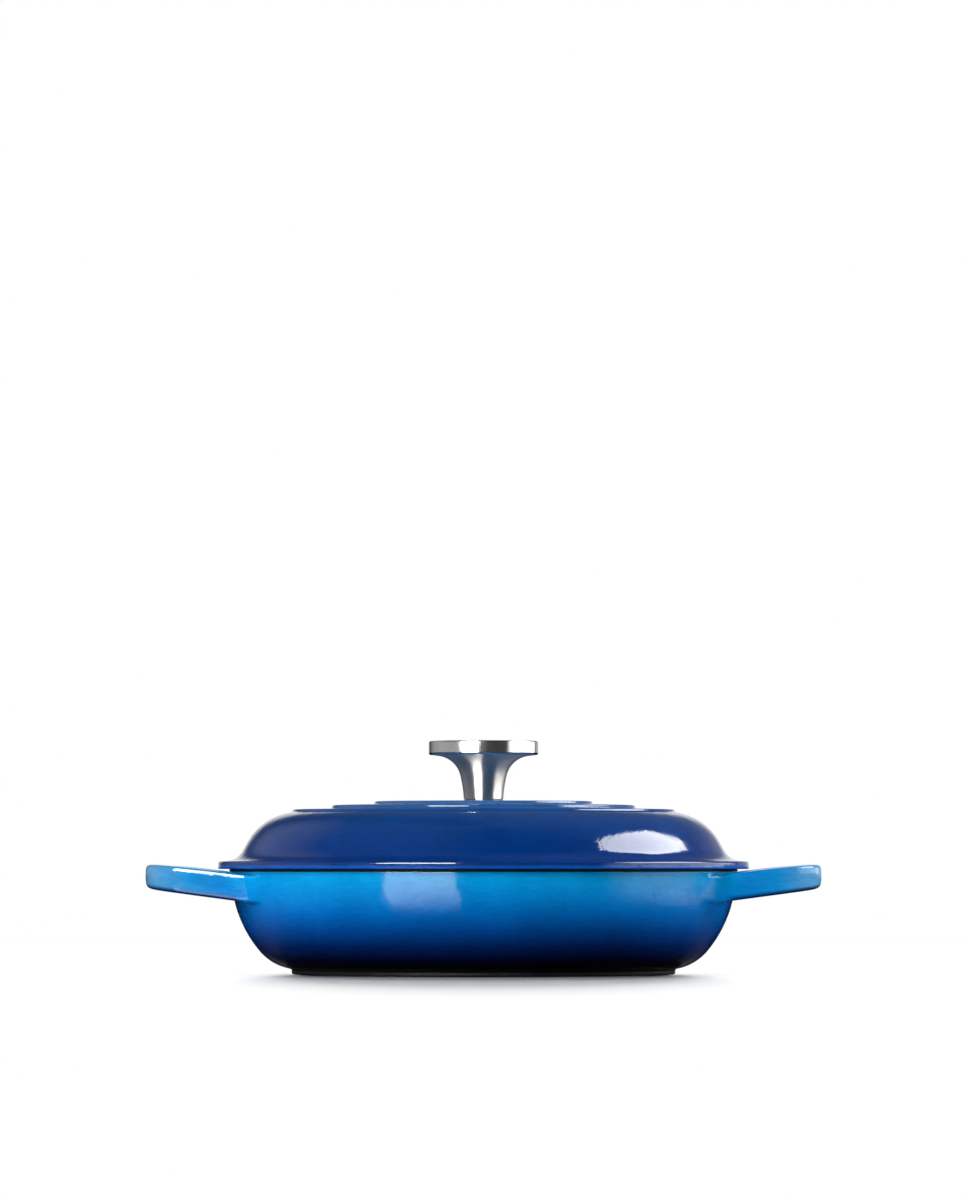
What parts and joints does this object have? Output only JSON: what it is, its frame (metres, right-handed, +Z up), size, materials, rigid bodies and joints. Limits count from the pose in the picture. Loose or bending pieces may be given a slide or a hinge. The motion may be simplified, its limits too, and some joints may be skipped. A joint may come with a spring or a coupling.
{
  "type": "lidded braiser",
  "caption": "Shallow braising pot of enamelled cast iron with loop handles cast on its sides, a stepped domed lid that lifts off, and a round steel knob.",
  "frame": {"origin": "centre of the foot ring, on the plane that the pot stands on", "axes": "+Z up along the axis of the pot, lid and knob, +X towards one loop handle"},
  "size_m": [0.3448, 0.2724, 0.1196],
  "materials": {
    "blue_enamelled_iron": "gloss vitreous enamel, light blue at the rim and handles, fading to navy at the foot",
    "knob_steel": "fine turned and polished stainless steel",
    "fastener_steel": "plain stainless steel"
  },
  "bodies": {
    "pot": {"pot": "blue_enamelled_iron"},
    "lid": {"lid": "blue_enamelled_iron", "knob_cap": "knob_steel", "knob_stem": "knob_steel", "knob_insert": "fastener_steel", "knob_screw": "fastener_steel", "flat_washer": "fastener_steel", "spring_washer": "fastener_steel"}
  },
  "joints": [
    {"name": "lid_lift", "type": "slide", "parent": "pot", "child": "lid", "axis": [0, 0, 1], "range_m": [0, 0.15]}
  ]
}
